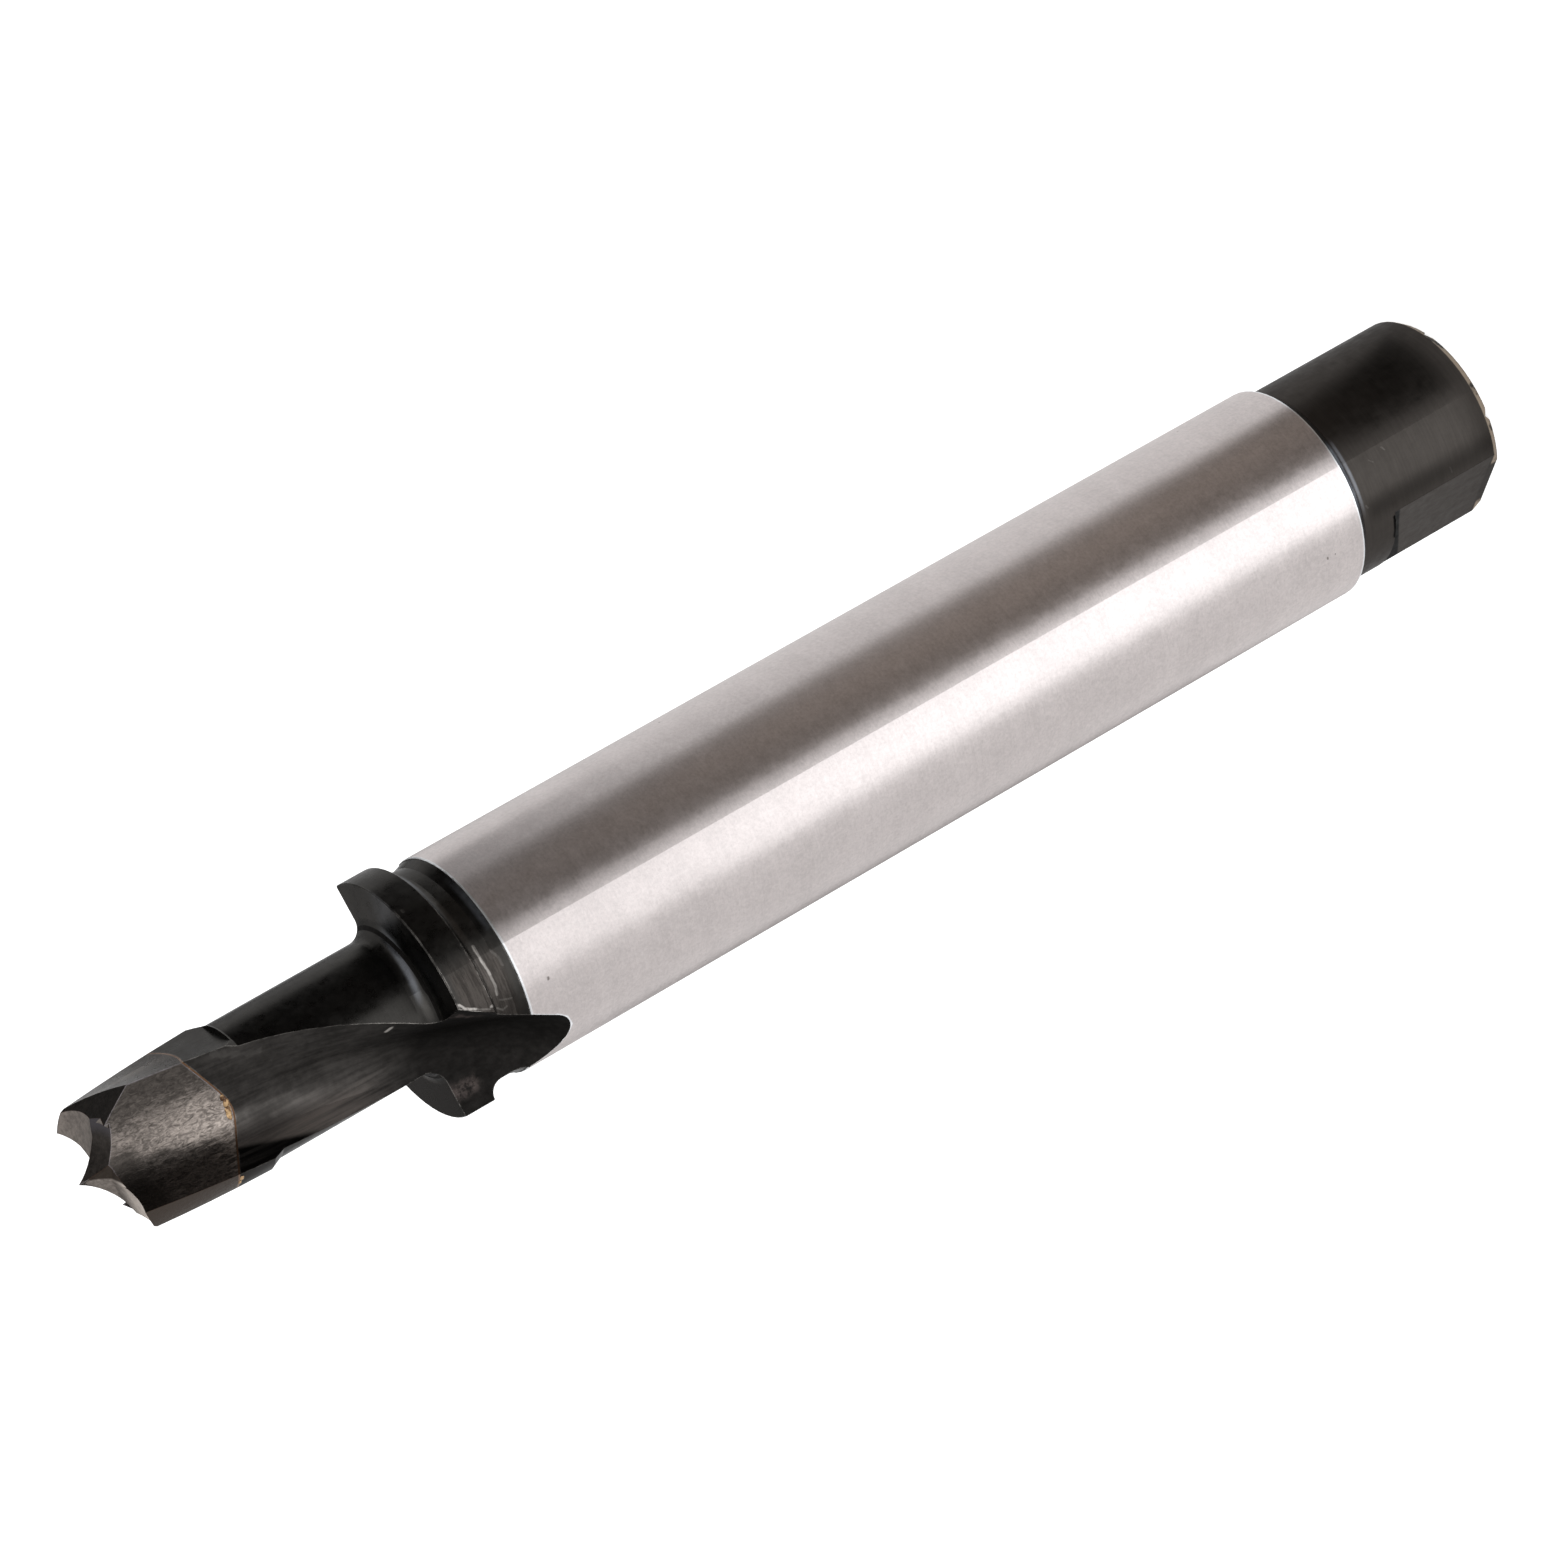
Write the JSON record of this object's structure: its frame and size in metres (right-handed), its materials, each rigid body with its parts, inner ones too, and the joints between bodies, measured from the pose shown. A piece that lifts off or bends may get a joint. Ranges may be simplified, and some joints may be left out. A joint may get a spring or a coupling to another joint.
{
  "type": "dowel bit",
  "caption": "Carbide tipped dowel bit with a centre point, outer spurs, screw flutes, a collar, a long ground shank and a short tail with a flat.",
  "frame": {"origin": "centre of the tail's end face, which the bit stands on", "axes": "+Z along the axis towards the centre point, +X towards the side the picture shows"},
  "size_m": [0.013, 0.013, 0.0862],
  "materials": {
    "blackened_steel": "black oxide all over, with the shank ground bright",
    "ground_carbide": "sintered carbide, ground",
    "braze": "thin brazing film"
  },
  "bodies": {
    "root": {"steel_body": "blackened_steel", "carbide_tip": "ground_carbide", "braze": "braze"}
  },
  "joints": []
}
